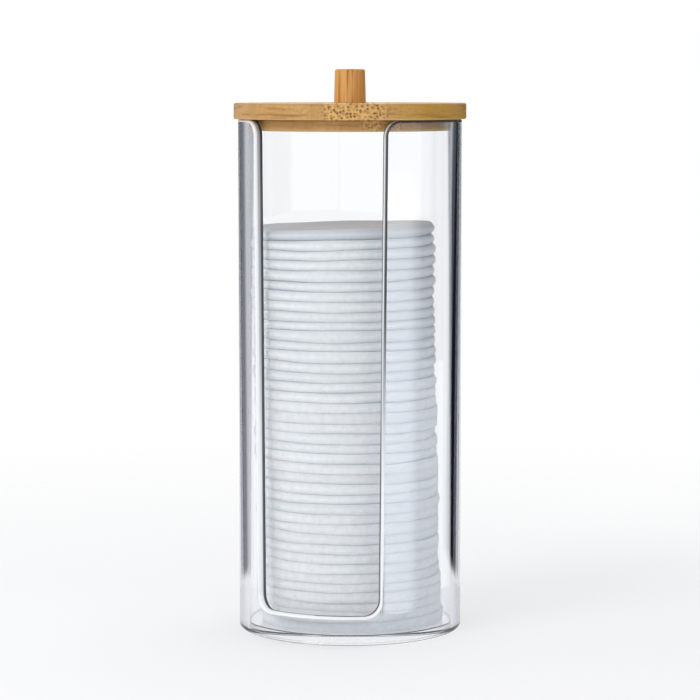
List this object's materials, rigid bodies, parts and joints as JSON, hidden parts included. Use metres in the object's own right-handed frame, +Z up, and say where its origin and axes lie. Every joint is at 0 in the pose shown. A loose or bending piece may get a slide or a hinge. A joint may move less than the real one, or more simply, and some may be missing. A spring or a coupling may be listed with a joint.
{
  "type": "cotton pad holder",
  "caption": "Clear acrylic tube that holds a stack of round cotton pads, with a tall front slot open at the rim and a lift-off bamboo lid with a small knob.",
  "frame": {"origin": "middle of the tube's foot, on the surface that the holder stands on", "axes": "+Z up along the tube's axis, -Y out through the middle of the front slot"},
  "size_m": [0.0726, 0.0726, 0.1755],
  "materials": {
    "acrylic": "polished",
    "bamboo": "satin",
    "bamboo_knob": "satin",
    "screw_steel": "satin",
    "cotton": "matte"
  },
  "bodies": {
    "holder": {"tube": "acrylic", "base_disc": "acrylic"},
    "lid": {"lid_plate": "bamboo", "lid_plug": "bamboo", "knob": "bamboo_knob", "knob_screw": "screw_steel"},
    "pad_stack": {"pad_01": "cotton", "pad_02": "cotton", "pad_03": "cotton", "pad_04": "cotton", "pad_05": "cotton", "pad_06": "cotton", "pad_07": "cotton", "pad_08": "cotton", "pad_09": "cotton", "pad_10": "cotton", "pad_11": "cotton", "pad_12": "cotton", "pad_13": "cotton", "pad_14": "cotton", "pad_15": "cotton", "pad_16": "cotton", "pad_17": "cotton", "pad_18": "cotton", "pad_19": "cotton", "pad_20": "cotton", "pad_21": "cotton", "pad_22": "cotton", "pad_23": "cotton", "pad_24": "cotton", "pad_25": "cotton", "pad_26": "cotton", "pad_27": "cotton", "pad_28": "cotton", "pad_29": "cotton", "pad_30": "cotton", "pad_31": "cotton", "pad_32": "cotton", "pad_33": "cotton", "pad_34": "cotton", "pad_35": "cotton", "pad_36": "cotton", "pad_37": "cotton", "pad_38": "cotton", "pad_39": "cotton"},
    "top_pad": {"pad_40": "cotton"}
  },
  "joints": [
    {"name": "lid_lift", "type": "slide", "parent": "holder", "child": "lid", "axis": [0, 0, 1], "range_m": [0, 0.06]},
    {"name": "pad_stack_lift", "type": "slide", "parent": "holder", "child": "pad_stack", "axis": [0, 0, 1], "range_m": [0, 0.014]},
    {"name": "top_pad_lift", "type": "slide", "parent": "pad_stack", "child": "top_pad", "axis": [0, 0, 1], "range_m": [0, 0.014]}
  ]
}
